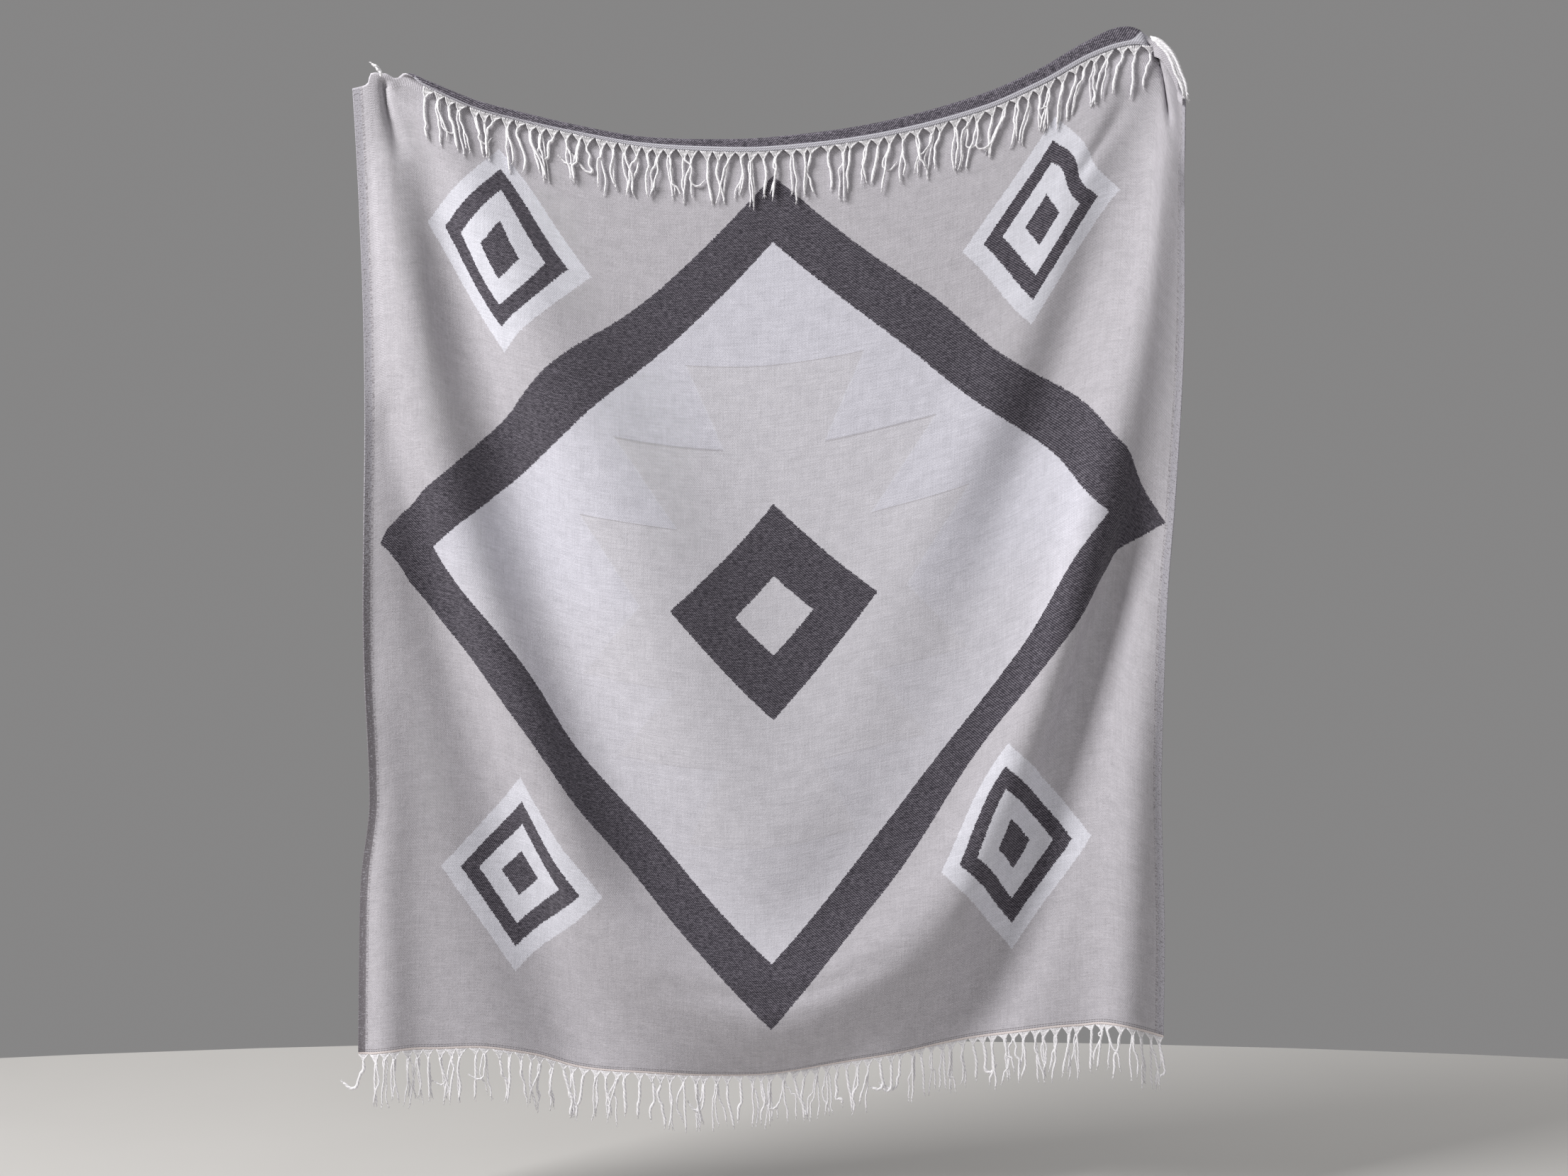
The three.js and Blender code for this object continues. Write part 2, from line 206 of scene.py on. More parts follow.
# The main folds, each a soft ridge (height above zero, towards the front) or a trough (below
# zero) that runs through its stations.
FOLDS = {
    "inner swag": [
        Station(-640, 0, 50, 8),
        Station(-515, 210, 76, 18),
        Station(-385, 420, 112, 30),
        Station(-270, 620, 145, 36),
        Station(-190, 870, 150, 30),
        Station(-95, 1110, 145, 22),
        Station(0, 1280, 130, 16),
        Station(110, 1130, 120, 7),
        Station(200, 900, 100, 5),
        Station(300, 690, 85, 7),
        Station(410, 500, 70, 8),
        Station(640, 20, 50, 4),
    ],
    "inner trough": [
        Station(-690, 60, 60, -1),
        Station(-632, 230, 66, -14),
        Station(-578, 410, 72, -32),
        Station(-518, 570, 92, -29),
        Station(-450, 760, 100, -36),
        Station(-370, 960, 108, -42),
        Station(-225, 1240, 112, -36),
        Station(0, 1395, 105, -22),
        Station(170, 1230, 110, -7),
        Station(320, 950, 100, -9),
        Station(465, 660, 80, -16),
        Station(560, 400, 60, -13),
        Station(650, 110, 50, -5),
    ],
    "outer swag": [
        Station(-745, -20, 50, 4),
        Station(-690, 260, 58, 20),
        Station(-640, 560, 70, 19),
        Station(-545, 850, 72, 22),
        Station(-405, 1170, 82, 38),
        Station(-260, 1390, 88, 34),
        Station(0, 1490, 85, 34),
        Station(190, 1455, 85, 38),
        Station(315, 1370, 82, 36),
        Station(468, 1145, 74, 34),
        Station(578, 900, 62, 38),
        Station(660, 580, 56, 24),
        Station(735, 70, 45, 10),
    ],
    "left trough": [
        Station(-735, 560, 40, -8),
        Station(-655, 830, 58, -22),
        Station(-545, 1210, 78, -30),
        Station(-430, 1460, 92, -36),
        Station(-350, 1680, 95, -40),
    ],
    "right trough": [
        Station(735, 760, 45, -12),
        Station(632, 1000, 58, -32),
        Station(562, 1240, 74, -30),
        Station(440, 1500, 86, -44),
        Station(290, 1700, 92, -52),
    ],
    "left edge": [
        Station(-770, 1000, 45, 6),
        Station(-738, 1330, 46, 20),
        Station(-718, 1700, 48, 26),
    ],
    "right edge": [
        Station(765, 900, 45, 6),
        Station(728, 1180, 52, 28),
        Station(700, 1450, 58, 34),
        Station(684, 1700, 58, 40),
    ],
    "hem tuck": [
        Station(-160, 1705, 92, -44),
        Station(0, 1705, 96, -56),
        Station(140, 1705, 92, -44),
    ],
    "left edge fall": [
        Station(-800, 40, 85, -10),
        Station(-795, 250, 95, -18),
        Station(-790, 480, 95, -18),
        Station(-785, 720, 85, -8),
    ],
    "left edge lean": [
        Station(-788, 1160, 60, -4),
        Station(-785, 1320, 64, -14),
        Station(-775, 1520, 62, -14),
        Station(-770, 1660, 58, -10),
    ],
    "lower swell": [
        Station(-270, 1310, 70, 2),
        Station(-120, 1375, 90, 14),
        Station(0, 1390, 95, 19),
        Station(140, 1360, 90, 14),
        Station(270, 1280, 70, 2),
    ],
    "lower hollow": [
        Station(-270, 1620, 105, -3),
        Station(-120, 1640, 120, -9),
        Station(0, 1645, 125, -12),
        Station(140, 1630, 120, -9),
        Station(290, 1600, 105, -3),
    ],
}

# Finer creases of the cloth, as the folds above but narrower.
CREASES = {
    "left corner notch": [
        Station(-704, 8, 8, -16),
        Station(-701, 40, 11, -15),
        Station(-694, 85, 15, -10),
        Station(-683, 130, 22, -4),
    ],
    "right corner hollow": [
        Station(644, 10, 13, -14),
        Station(662, 36, 15, -26),
        Station(684, 64, 16, -20),
        Station(714, 100, 18, -7),
    ],
    "right corner roll": [
        Station(778, -10, 15, 10),
        Station(779, 60, 14, 10),
        Station(780, 130, 12, 4),
    ],
    "right corner crease": [
        Station(612, 110, 15, -2),
        Station(598, 150, 15, -5),
        Station(552, 205, 14, -5),
        Station(515, 232, 14, -2),
    ],
    "left selvedge roll": [
        Station(-782, 60, 13, 2),
        Station(-782, 500, 13, 4),
        Station(-782, 900, 14, 8),
        Station(-782, 1616, 15, 10),
    ],
    "right selvedge roll": [
        Station(782, 200, 12, 3),
        Station(782, 800, 12, 5),
        Station(782, 1616, 13, 4),
    ],
    "lower crease": [
        Station(-210, 1452, 18, -2),
        Station(-60, 1462, 15, -4),
        Station(90, 1458, 15, -4),
        Station(230, 1430, 18, -2),
    ],
}

# Where the hanging cloth is pulled out of square, and how far the pattern is shifted there.
PULLS = [
    Pull(-600, 200, 160, -10, -26),
    Pull(-450, 110, 160, -18, -26),
    Pull(-440, 360, 160, -25, -14),
    Pull(-740, 770, 120, 12, -12),
    Pull(-620, 800, 110, -10, 6),
    Pull(0, 800, 260, 2, 20),
    Pull(350, 250, 130, 4, -12),
    Pull(450, 410, 130, -20, -2),
    Pull(590, 270, 110, -13, 8),
    Pull(480, 120, 110, 10, -6),
    Pull(610, 810, 120, -17, 22),
    Pull(790, 790, 120, 8, -15),
    Pull(-460, 1130, 130, -2, -10),
    Pull(-340, 1310, 130, 12, -8),
    Pull(-480, 1470, 120, -10, -2),
    Pull(430, 1170, 130, -36, -26),
    Pull(390, 1300, 130, 4, -16),
    Pull(590, 1330, 110, 6, 18),
    Pull(0, 1480, 150, -2, -8),
    Pull(-430, 1270, 60, -7, 3),
    Pull(470, 1316, 60, 4, 2),
    Pull(505, 190, 34, 6, -7),
    Pull(545, 236, 30, -4, 5),
    Pull(-470, 1300, 240, -13, 2),
    Pull(-470, 1185, 105, -9, 9),
    Pull(-380, 330, 120, 9, -8),
    Pull(-480, 275, 80, -3, 24),
]

# The pale figure in the great diamond: tiers that widen away from the middle of the cloth.
TIERS = [
    Tier(0, 136, 240, 350),
    Tier(136, 272, 175, 285),
    Tier(272, 410, 90, 155),
]

# The fringe past the right corner hangs outside it in one bundle, and a tuft stands up at the
# left corner.
RIGHT_BUNDLE = [
    Spot(0.00, 622, 62, 160),
    Spot(0.15, 640, 69, 150),
    Spot(0.30, 655, 75, 134),
    Spot(0.45, 665, 79, 116),
    Spot(0.60, 672, 80, 96),
    Spot(0.80, 680, 80, 76),
    Spot(1.00, 685, 80, 52),
]
LEFT_TUFT = [
    Spot(0.0, -650, 68, 92),
    Spot(0.4, -655, 70, 101),
    Spot(1.0, -665, 71, 112),
]

# Square lamps, all aimed at the middle of the cloth, and the light all round. Places and sizes
# are in metres.
LAMPS = [
    Lamp("key", (-3.3, -1.95, 2.1), 1.7, 252, (1.0, 0.99, 0.985)),
    Lamp("fill", (2.6, -3.4, 0.2), 2.4, 13, (0.97, 0.98, 1.0)),
    Lamp("back", (1.8, 3.0, 1.4), 2.0, 60, (1.0, 1.0, 1.0)),
]
SURROUND_TINT = (0.80, 0.79, 0.79, 1)
SURROUND_STRENGTH = 0.3


# The hanging sheet

def through(rows, key, column, places):
    """A smooth curve through one column of a table, at many places."""
    keys = np.array([getattr(row, key) for row in rows], float)
    values = np.array([getattr(row, column) for row in rows], float)
    order = np.arange(len(rows))
    before = np.maximum(order - 1, 0)
    after = np.minimum(order + 1, len(rows) - 1)
    slopes = (values[after] - values[before]) / (keys[after] - keys[before])
    places = np.clip(places, keys[0], keys[-1])
    k = np.clip(np.searchsorted(keys, places) - 1, 0, len(rows) - 2)
    span = keys[k + 1] - keys[k]
    u = (places - keys[k]) / span
    start = (2 * u**3 - 3 * u**2 + 1) * values[k] + (u**3 - 2 * u**2 + u) * span * slopes[k]
    end = (3 * u**2 - 2 * u**3) * values[k + 1] + (u**3 - u**2) * span * slopes[k + 1]
    return start + end


def ridge(stations, acrosses, downs):
    """The height of one fold over a flat grid, as closely spaced round dabs along its line."""
    rows = [NumberedStation(number, *station) for number, station in enumerate(stations)]
    longest = max(
        math.hypot(b.across - a.across, b.down - a.down) for a, b in zip(stations, stations[1:]))
    narrowest = min(station.width for station in stations)
    per_station = math.ceil(longest / (DAB_SPACING * narrowest))
    steps = np.linspace(0, len(rows) - 1, per_station * (len(rows) - 1) + 1)
    line = {column: through(rows, "number", column, steps) for column in Station._fields}
    lengths = np.hypot(np.gradient(line["across"]), np.gradient(line["down"]))
    lengths[[0, -1]] *= 0.5
    weights = line["height"] * lengths / (line["width"] * math.sqrt(math.pi))
    height = np.zeros((len(downs), len(acrosses)))
    for across, down, width, weight in zip(line["across"], line["down"], line["width"], weights):
        sideways = np.exp(-(((acrosses - across) / width) ** 2))
        lengthways = np.exp(-(((downs - down) / width) ** 2))
        height += weight * np.outer(lengthways, sideways)
    return height


def level_part(step, *used):
    """The length left along each step when part of it is used up by depth and slope."""
    left = step**2 - sum(part**2 for part in used)
    return np.sqrt(np.maximum(left, LEAST_LEVEL * step**2))


def running_total(steps, axis):
    """Totals along an axis, starting from zero."""
    totals = np.cumsum(steps, axis=axis)
    return np.insert(totals, 0, 0, axis=axis)


def hang(acrosses, downs):
    """Where a flat grid of the cloth hangs. Each yarn keeps its length, so the cloth draws in
    where it folds, and the result is fitted between the ends and the sides."""
    bow = BOW_AT_TOP + (BOW_AT_HEM - BOW_AT_TOP) * downs / DROP
    forward = np.outer(bow, (acrosses / HALF_WIDTH) ** 2)
    for stations in [*FOLDS.values(), *CREASES.values()]:
        forward = forward + ridge(stations, acrosses, downs)

    falls = level_part(np.diff(downs)[:, None], np.diff(forward, axis=0))
    fallen = running_total(falls, axis=0)
    part = fallen / fallen[-1]
    top = through(ENDS, "across", "top", acrosses)
    hem = through(ENDS, "across", "hem", acrosses)
    lift = through(ENDS, "across", "lift", acrosses)
    height = top + (hem - top) * part + lift * 4 * part * (1 - part)

    runs = level_part(np.diff(acrosses), np.diff(forward, axis=1), np.diff(height, axis=1))
    run = running_total(runs, axis=1)
    middle = len(acrosses) // 2
    run = run - run[:, middle:middle + 1]
    left = through(SIDES, "down", "left", downs) / run[:, 0]
    right = through(SIDES, "down", "right", downs) / run[:, -1]
    sideways = run * np.where(acrosses < 0, left[:, None], right[:, None])
    return np.stack([sideways, -forward, height], axis=-1)


def pattern_places(acrosses, downs):
    """The place in the woven pattern of each place on a flat grid of the cloth."""
    across, down = np.meshgrid(acrosses, downs)
    shift = np.zeros((len(downs), len(acrosses), 2))
    for pull in PULLS:
        away = ((across - pull.across) ** 2 + (down - pull.down) ** 2) / pull.reach**2
        shift += np.exp(-away)[..., None] * (pull.right, pull.below)
    return np.stack([across, down - PATTERN_CENTRE], axis=-1) - shift


def unit(vectors):
    """Vectors of length one."""
    return vectors / np.linalg.norm(vectors, axis=-1, keepdims=True)


class Sheet:
    """The front of the hanging cloth, for pieces that lie on it."""

    def __init__(self, acrosses, downs):
        self.acrosses = acrosses
        self.downs = downs
        self.points = hang(acrosses, downs)
        self.downward = unit(np.gradient(self.points, downs, axis=0))
        rightward = unit(np.gradient(self.points, acrosses, axis=1))
        self.faces = unit(np.cross(self.downward, rightward))

    def at(self, field, across, down):
        """A field of the sheet between its grid's places."""
        i = np.interp(across, self.acrosses, np.arange(len(self.acrosses)))
        j = np.interp(down, self.downs, np.arange(len(self.downs)))
        i0 = np.minimum(i.astype(int), len(self.acrosses) - 2)
        j0 = np.minimum(j.astype(int), len(self.downs) - 2)
        u = (i - i0)[..., None]
        v = (j - j0)[..., None]
        upper = field[j0, i0] * (1 - u) + field[j0, i0 + 1] * u
        lower = field[j0 + 1, i0] * (1 - u) + field[j0 + 1, i0 + 1] * u
        return upper * (1 - v) + lower * v


inner_acrosses = np.linspace(EDGE_STRIP - HALF_WIDTH, HALF_WIDTH - EDGE_STRIP, COLUMNS - 1)
inner_downs = np.linspace(0, DROP - EDGE_STRIP, MAIN_ROWS)
sheet = Sheet(
    np.concatenate([[-HALF_WIDTH], inner_acrosses, [HALF_WIDTH]]),
    np.concatenate([inner_downs, [DROP]]),
)


def turned_length(acrosses):
    """How much of the top end is turned over."""
    return through(ENDS, "across", "turned", acrosses)


def turned_over(lengths):
    """Points of the turned-over end, at these lengths above its fold: a row of the grid each."""
    degrees = np.clip(through(ENDS, "across", "turn", sheet.acrosses), -180, 180)
    turn = np.radians(degrees)
    bent = np.minimum(lengths / TURN_RADIUS, np.abs(turn))
    straight = lengths - bent * TURN_RADIUS
    rise = TURN_RADIUS * np.sin(bent) + straight * np.cos(bent)
    out = TURN_RADIUS * (1 - np.cos(bent)) + straight * np.sin(bent)
    return (
        sheet.points[0] - sheet.downward[0] * rise[..., None]
        + sheet.faces[0] * (np.sign(turn) * out)[..., None])


def make_cloth():
    """The cloth from a flat grid, turned-over end included. Its UV maps are its flat places and
    its places in the pattern."""
    flap = np.linspace(TURN_OVER, TURN_LENGTH, FLAP_ROWS, endpoint=False)
    turn = np.linspace(TURN_LENGTH, 0, TURN_ROWS, endpoint=False)
    shares = np.concatenate([flap, turn]) / TURN_OVER
    lengths = np.outer(shares, turned_length(sheet.acrosses))
    points = np.concatenate([turned_over(lengths), sheet.points])

    from_hem = turned_length(sheet.acrosses) - lengths
    across, down = np.meshgrid(sheet.acrosses, sheet.downs)
    above = np.stack([np.tile(sheet.acrosses, (len(shares), 1)), from_hem - TURN_OVER], axis=-1)
    flat_places = np.concatenate([above, np.stack([across, down], axis=-1)])
    pattern = np.concatenate([
        above - (0, PATTERN_CENTRE), pattern_places(sheet.acrosses, sheet.downs)])

    last_row = len(points) - 1
    last_column = len(sheet.acrosses) - 1
    shape = bmesh.new()
    bmesh.ops.create_grid(shape, x_segments=last_column, y_segments=last_row, size=1)
    layers = [
        (shape.loops.layers.uv.new("flat"), flat_places * MM),
        (shape.loops.layers.uv.new("pattern"), pattern * MM)]
    for vertex in shape.verts:
        i = round((vertex.co.x + 1) / 2 * last_column)
        j = round((1 - vertex.co.y) / 2 * last_row)
        vertex.co = points[j, i] * MM
        for loop in vertex.link_loops:
            for layer, places in layers:
                loop[layer].uv = places[j, i]
    cloth = finished_piece("blanket_cloth", shape)
    wall = cloth.modifiers.new("woven thickness", "SOLIDIFY")
    wall.thickness = CLOTH_THICKNESS * MM
    wall.offset = 0
    wall.material_offset = 1
    return cloth


def placed(name, mesh):
    """A smooth piece of this mesh, at the origin."""
    mesh.shade_smooth()
    piece = bpy.data.objects.new(name, mesh)
    bpy.context.scene.collection.objects.link(piece)
    return piece


def finished_piece(name, shape):
    """A smooth piece from a bmesh, which is used up."""
    mesh = bpy.data.meshes.new(name)
    shape.to_mesh(mesh)
    shape.free()
    return placed(name, mesh)


# Yarn

chance = np.random.default_rng(20)

# A way that no yarn follows for long, from which the sides of each yarn are found
OFF_YARNS = (0.0, 1.0, 0.2)


def make_yarns(name, yarns, sides=6):
    """One mesh of round yarns, each along its points with its radii. Its UV map holds the turn
    around a yarn and the length along it."""
    vertices = []
    faces = []
    places = []
    angles = np.linspace(0, 2 * math.pi, sides, endpoint=False)
    for points, radii in yarns:
        along = unit(np.gradient(points, axis=0))
        side = unit(np.cross(along, OFF_YARNS))
        other = np.cross(along, side)
        spokes = np.cos(angles)[:, None] * side[:, None] + np.sin(angles)[:, None] * other[:, None]
        rings = points[:, None] + radii[:, None, None] * spokes
        lengths = running_total(np.linalg.norm(np.diff(points, axis=0), axis=1), axis=0) * MM
        first = len(vertices)
        vertices.extend((rings * MM).reshape(-1, 3))
        for i in range(len(points) - 1):
            for k in range(sides):
                here = first + i * sides
                ahead = here + sides
                following = (k + 1) % sides
                faces.append((here + k, here + following, ahead + following, ahead + k))
                turns = (k / sides, (k + 1) / sides)
                places.extend([
                    (turns[0], lengths[i]), (turns[1], lengths[i]),
                    (turns[1], lengths[i + 1]), (turns[0], lengths[i + 1])])
        last = first + (len(points) - 1) * sides
        faces.append(tuple(range(first + sides - 1, first - 1, -1)))
        faces.append(tuple(range(last, last + sides)))
        places.extend([(0, lengths[0])] * sides + [(0, lengths[-1])] * sides)
    mesh = bpy.data.meshes.new(name)
    mesh.from_pydata(vertices, [], faces)
    twist = mesh.uv_layers.new(name="twist")
    twist.uv.foreach_set("vector", np.array(places, np.float32).ravel())
    return placed(name, mesh)


def cord_radii(thickest):
    """Radii along a cord: a little lumpy, thinner where it starts and at its tip."""
    t = np.linspace(0, 1, CORD_POINTS)
    lumps = 1 + 0.12 * np.sin(2 * math.pi * (chance.uniform(2, 4) * t + chance.random()))
    return thickest * lumps * np.interp(t, [0, 0.1, 0.88, 1], [0.7, 1, 1, 0.65])


def cord_route(length, lean):
    """Places to the side of and below its start along a cord that leans, wavers and at times
    kinks or hooks."""
    t = np.linspace(0, 1, CORD_POINTS)
    angle = np.full(CORD_POINTS, lean)
    for waves, turn in CORD_WAVES:
        angle = angle + chance.normal(0, turn) * np.sin(2 * math.pi * (waves * t + chance.random()))
    for _ in range(chance.poisson(KINKS_PER_CORD)):
        bend = chance.uniform(0.12, 0.85)
        angle = angle + chance.normal(0, KINK_TURN) * np.exp(-(((t - bend) / KINK_LENGTH) ** 2))
    if chance.random() < HOOKED_SHARE:
        angle = angle + chance.choice([-HOOK_TURN, HOOK_TURN]) * np.clip((t - 0.55) / 0.35, 0, 1)
    step = length / (CORD_POINTS - 1)
    sideways = running_total(step * np.sin(angle[1:]), axis=0)
    falls = running_total(step * np.cos(angle[1:]), axis=0)
    return sideways, falls


def frayed_tip(points):
    """Loose fibres that spread from the end of a cord."""
    ahead = unit(points[-1] - points[-3])
    fibres = []
    for _ in range(FIBRES):
        way = unit(ahead + chance.normal(0, 0.22, 3))
        reach = np.linspace(-3, chance.uniform(3, 8), len(FIBRE_RADII))
        line = points[-1] + reach[:, None] * way
        fibres.append((line, np.array(FIBRE_RADII)))
    return fibres


def tassel(place_of, across, lean):
    """The yarns of one tassel: a fan that gathers at a knot, and one to three twisted cords.
    place_of turns flat places and a stand-off into points."""
    yarns = []
    knot = across + chance.uniform(-KNOT_SLIP, KNOT_SLIP)
    knot_drop = FAN_DROP * chance.uniform(0.7, 1.25)
    t = np.linspace(0, 1, 6)
    for k in range(FAN_YARNS):
        part = 2 * k / (FAN_YARNS - 1) - 1
        root = across + FAN_HALF_WIDTH * part + chance.uniform(-0.8, 0.8)
        gather = (1 - t) ** 1.5
        points = place_of(knot + (root - knot) * gather, knot_drop * 1.15 * t, 0.8 * t)
        yarns.append((points, np.full(len(t), FAN_RADIUS * (1 + 0.6 * part**4))))
    cords = chance.choice([1, 1, 2, 2, 2, 3])
    for k in range(cords):
        length = CORD_LENGTH * chance.uniform(0.8, 1.08)
        sideways, falls = cord_route(length, lean + chance.normal(0, 0.07))
        start = knot + (k - (cords - 1) / 2) * CORD_GAP
        out = 1.8 * (k % 2) + 1.2 * np.sin(np.linspace(0, chance.uniform(2, 6), CORD_POINTS))
        points = place_of(start + sideways, knot_drop * 0.85 + falls, out)
        yarns.append((points, cord_radii(CORD_RADII[cords - 1] * chance.uniform(0.85, 1.1))))
        yarns.extend(frayed_tip(points))
    return yarns


def loose_cords(spots, count, spread):
    """Cords that lie side by side along a line of spots."""
    yarns = []
    for _ in range(count):
        parts = np.linspace(chance.uniform(0, 0.22), chance.uniform(0.86, 1), CORD_POINTS)
        middle = np.stack([
            through(spots, "part", "right", parts), -through(spots, "part", "forward", parts),
            through(spots, "part", "up", parts)], axis=-1)
        ahead = unit(np.gradient(middle, axis=0))
        side = unit(np.cross(ahead, (0, 1, 0)))
        wave = 0.8 * np.sin(2 * math.pi * (chance.uniform(1, 2.5) * parts + chance.random()))
        opened = 0.45 + 0.55 * np.sin(math.pi * np.clip(parts, 0, 0.85))
        aside = chance.uniform(-spread, spread) * opened + wave
        points = middle + aside[:, None] * side - (0, chance.uniform(0, 5), 0)
        yarns.append((points, cord_radii(CORD_RADII[0] * chance.uniform(0.75, 1.0))))
        yarns.extend(frayed_tip(points))
    return yarns


def on_front(across, down, out):
    """Points in front of the cloth below the turned-over end."""
    across = np.clip(across, -HALF_WIDTH, HALF_WIDTH)
    below = np.clip(down / FAN_DROP, 0, 1)
    down = np.maximum(turned_length(across) - TURN_LENGTH, 0) + down
    face = sheet.at(sheet.faces, across, down)
    at_root = 2 * TURN_RADIUS
    stand_off = at_root + (FRINGE_STAND_OFF - at_root) * below + np.maximum(out, -0.6)
    return sheet.at(sheet.points, across, down) + face * stand_off[..., None]


def under_hem(across, down, out):
    """Points that hang straight down from the bottom hem."""
    inside = np.clip(across, -HALF_WIDTH, HALF_WIDTH)
    root = sheet.at(sheet.points, inside, np.full_like(inside, DROP))
    over = across - inside
    return root + np.stack([over, -out, -down], axis=-1)


def fringe(place_of, left, right):
    """Tassels along an end, evenly spaced with small slips. Some lean towards a neighbour."""
    count = round((right - left) / TASSEL_PITCH)
    pitch = (right - left) / count
    leans = chance.normal(0, 0.06, count)
    for n in range(count - 1):
        if chance.random() < LEANING_SHARE:
            leans[n] += LEAN
            leans[n + 1] -= LEAN
    yarns = []
    for n in range(count):
        across = left + pitch * (n + 0.5) + chance.uniform(-TASSEL_SLIP, TASSEL_SLIP)
        yarns.extend(tassel(place_of, across, leans[n]))
    return yarns


def make_top_fringe():
    yarns = fringe(on_front, TOP_FRINGE_LEFT, TOP_FRINGE_RIGHT)
    yarns.extend(loose_cords(RIGHT_BUNDLE, count=10, spread=6))
    yarns.extend(loose_cords(LEFT_TUFT, count=2, spread=2.5))
    return make_yarns("top_fringe_yarn", yarns)


def make_bottom_fringe():
    return make_yarns("bottom_fringe_yarn", fringe(under_hem, -HALF_WIDTH, HALF_WIDTH))


# Finishes

class Wire:
    """A node's output in a finish. Arithmetic on wires adds Math nodes."""

    def __init__(self, tree, socket=None):
        self.tree = tree
        self.socket = socket

    def node(self, kind, settings=None, sockets=None, output=0):
        """Adds a node: its settings first, then the values or links of its sockets. Several
        outputs give several wires."""
        made = self.tree.nodes.new("ShaderNode" + kind)
        for name, value in (settings or {}).items():
            setattr(made, name, value)
        for name, value in (sockets or {}).items():
            if isinstance(value, Wire):
                self.tree.links.new(value.socket, made.inputs[name])
            else:
                made.inputs[name].default_value = value
        if isinstance(output, tuple):
            return [Wire(self.tree, made.outputs[name]) for name in output]
        return Wire(self.tree, made.outputs[output])

    def math(self, operation, *values):
        return self.node("Math", {"operation": operation}, dict(enumerate(values)))

    def __add__(self, other):
        return self.math("ADD", self, other)

    def __sub__(self, other):
        return self.math("SUBTRACT", self, other)

    def __mul__(self, other):
        return self.math("MULTIPLY", self, other)

    def __truediv__(self, other):
        return self.math("DIVIDE", self, other)

    def __rsub__(self, other):
        return self.math("SUBTRACT", other, self)

    def __lt__(self, other):
        return self.math("LESS_THAN", self, other)

    def __gt__(self, other):
        return self.math("GREATER_THAN", self, other)

    def __abs__(self):
        return self.math("ABSOLUTE", self)

    def __floor__(self):
        return self.math("FLOOR", self)

    __radd__ = __add__
    __rmul__ = __mul__

    def between(self, low, high):
        """One where the value is between two limits, else nought."""
        return (self > low) * (self < high)

    def rise(self, low, high):
        """A smooth rise from nought to one between two limits."""
        limits = {"From Min": low, "From Max": high}
        return self.node("MapRange", {"interpolation_type": "SMOOTHSTEP"}, {"Value": self, **limits})

    def sine(self):
        return self.math("SINE", self)

    def pick(self):
        """An unordered value from nought to one for each whole number."""
        return self.node("TexWhiteNoise", {"noise_dimensions": "1D"}, {"W": self})

    def cloud(self, other, across_size, down_size, detail=2.0):
        """Soft noise of these sizes in millimetres over two flat places in metres."""
        place = self.node("CombineXYZ", None, {
            "X": self * (1 / (across_size * MM)), "Y": other * (1 / (down_size * MM))})
        sockets = {"Vector": place, "Scale": 1.0, "Detail": detail, "Roughness": 0.6}
        return self.node("TexNoise", {"noise_dimensions": "2D"}, sockets)

    def mixed(self, one, other):
        """A colour between two, by this share."""
        return self.node("Mix", {"data_type": "RGBA"}, {0: self, 6: one, 7: other}, output=2)

    def scaled(self, share):
        """A colour made lighter or darker."""
        return self.node("VectorMath", {"operation": "SCALE"}, {0: self, "Scale": share})


def colour(red, green, blue):
    """A colour on the 0 to 255 scale of a display, as the shader takes it."""
    def linear(level):
        share = level / 255
        return share / 12.92 if share <= 0.04045 else ((share + 0.055) / 1.055) ** 2.4
    return (linear(red), linear(green), linear(blue), 1.0)


def new_finish(name):
    material = bpy.data.materials.new(name)
    material.use_nodes = True
    material.node_tree.nodes.clear()
    return material, Wire(material.node_tree)


def cover(start, base, roughness, height, bump_depth, sheen):
    """Ends a finish in its shader."""
    bump = start.node("Bump", None, {"Strength": 0.7, "Distance": bump_depth * MM, "Height": height})
    shader = start.node("BsdfPrincipled", None, {
        "Base Color": base, "Roughness": roughness, "Normal": bump, "Specular IOR Level": 0.15,
        "Sheen Weight": sheen, "Sheen Roughness": 0.45, "Sheen Tint": colour(240, 238, 240)})
    start.node("OutputMaterial", None, {"Surface": shader}, output=())


PALE_GROUND = colour(195, 192, 198)
PALE_FIGURE = colour(212, 210, 217)
PALE_WING = colour(215, 214, 224)
WHITE_RING = colour(223, 223, 232)
CHARCOAL = colour(60, 57, 65)
CHARCOAL_FLECK = colour(138, 133, 143)
PALE_FLECK = colour(150, 145, 148)
SELVEDGE_PALE = colour(178, 176, 184)
SELVEDGE_DARK = colour(120, 115, 120)
HEADER_PALE = colour(205, 204, 213)
# Pale warp of the hem's edge, with a warm pink tint painted in as bounce light
HEM_PALE_WARM_BOUNCE = colour(232, 222, 220)
STITCH = colour(98, 90, 94)


def diamond(across, down, half):
    """Nought at a diamond's middle and one on its outline."""
    return abs(across) / (half[0] * MM) + abs(down) / (half[1] * MM)


def stepped(aside, below):
    """Places in the pattern that step from yarn to yarn, a little raggedly."""
    warp = math.floor(aside / (WARP_PITCH * MM))
    weft = math.floor(below / (WEFT_PITCH * MM))
    slip = (weft.pick() - 0.5) * (RAGGED * MM)
    return (warp + 0.5) * (WARP_PITCH * MM) + slip, (weft + 0.5) * (WEFT_PITCH * MM)


Yarns = namedtuple("Yarns", "weft_streak long_streak warp_streak short_fleck nap fuzz twill")


